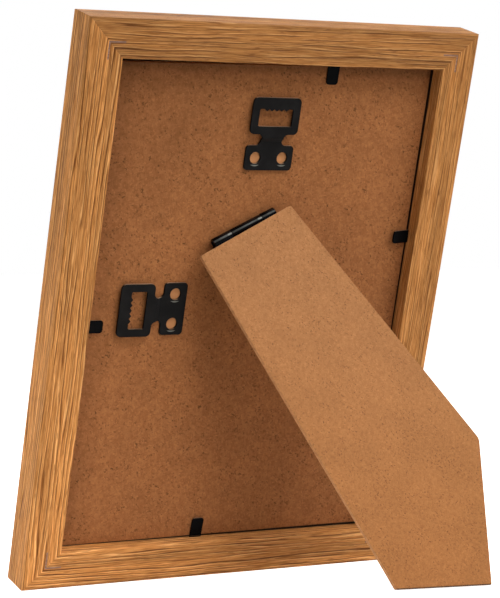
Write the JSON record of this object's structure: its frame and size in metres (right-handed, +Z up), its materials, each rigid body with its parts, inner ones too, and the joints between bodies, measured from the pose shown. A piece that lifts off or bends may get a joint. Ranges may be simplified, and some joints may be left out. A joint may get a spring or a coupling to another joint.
{
  "type": "easel back photo frame",
  "caption": "Oak-finish rabbeted photo frame with a hardboard back, bendable retaining tabs, toothed hangers and a slanted folding easel leg on a strut hinge.",
  "frame": {"origin": "under the middle of the standing frame's bounding box, on the surface that it stands on", "axes": "+Z up; the picture faces -Y and the leg stands out towards +Y; +X is to the viewer's right when looking at the picture"},
  "size_m": [0.1596, 0.0878, 0.2049],
  "materials": {
    "oak": "matt oak-grain foil",
    "nail_steel": "dull",
    "glass": "clear",
    "insert_card": "blank matt card",
    "hardboard_panel": "smooth hardboard",
    "hardboard_leg": "smooth hardboard",
    "black_hanger": "satin black",
    "black_hinge": "gloss black",
    "black_tab": "satin black"
  },
  "bodies": {
    "frame": {"rail_top": "oak", "rail_bottom": "oak", "rail_left": "oak", "rail_right": "oak", "corner_v_nails": "nail_steel", "glazing": "glass", "photo_insert": "insert_card", "back_panel": "hardboard_panel", "hanger_top": "black_hanger", "hanger_left": "black_hanger", "hinge_panel_leaf": "black_hinge", "hinge_pin": "black_hinge", "tab_top_barb": "black_tab", "tab_right_barb": "black_tab", "tab_bottom_barb": "black_tab", "tab_left_barb": "black_tab"},
    "leg": {"easel_leg": "hardboard_leg", "hinge_leg_leaf": "black_hinge"},
    "tab_top": {"tab_top_tongue": "black_tab"},
    "tab_right": {"tab_right_tongue": "black_tab"},
    "tab_bottom": {"tab_bottom_tongue": "black_tab"},
    "tab_left": {"tab_left_tongue": "black_tab"}
  },
  "joints": [
    {"name": "leg_fold", "type": "hinge", "parent": "frame", "child": "leg", "pos_m": [0.0069, 0.00218, 0.13023], "axis": [-0.8918, 0.1232, 0.4353], "range_deg": [0, 25.8]},
    {"name": "tab_top_bend", "type": "hinge", "parent": "frame", "child": "tab_top", "pos_m": [-0.0221, 0.01697, 0.18872], "axis": [1, 0, 0], "range_deg": [0, 90]},
    {"name": "tab_right_bend", "type": "hinge", "parent": "frame", "child": "tab_right", "pos_m": [-0.0651, -0.00051, 0.12694], "axis": [0, 0.2723, 0.9622], "range_deg": [-14, 76]},
    {"name": "tab_bottom_bend", "type": "hinge", "parent": "frame", "child": "tab_bottom", "pos_m": [0.0083, -0.0321, 0.01533], "axis": [-1, 0, 0], "range_deg": [-5, 85]},
    {"name": "tab_left_bend", "type": "hinge", "parent": "frame", "child": "tab_left", "pos_m": [0.0651, -0.00944, 0.09538], "axis": [0, -0.2723, -0.9622], "range_deg": [0, 90]}
  ]
}
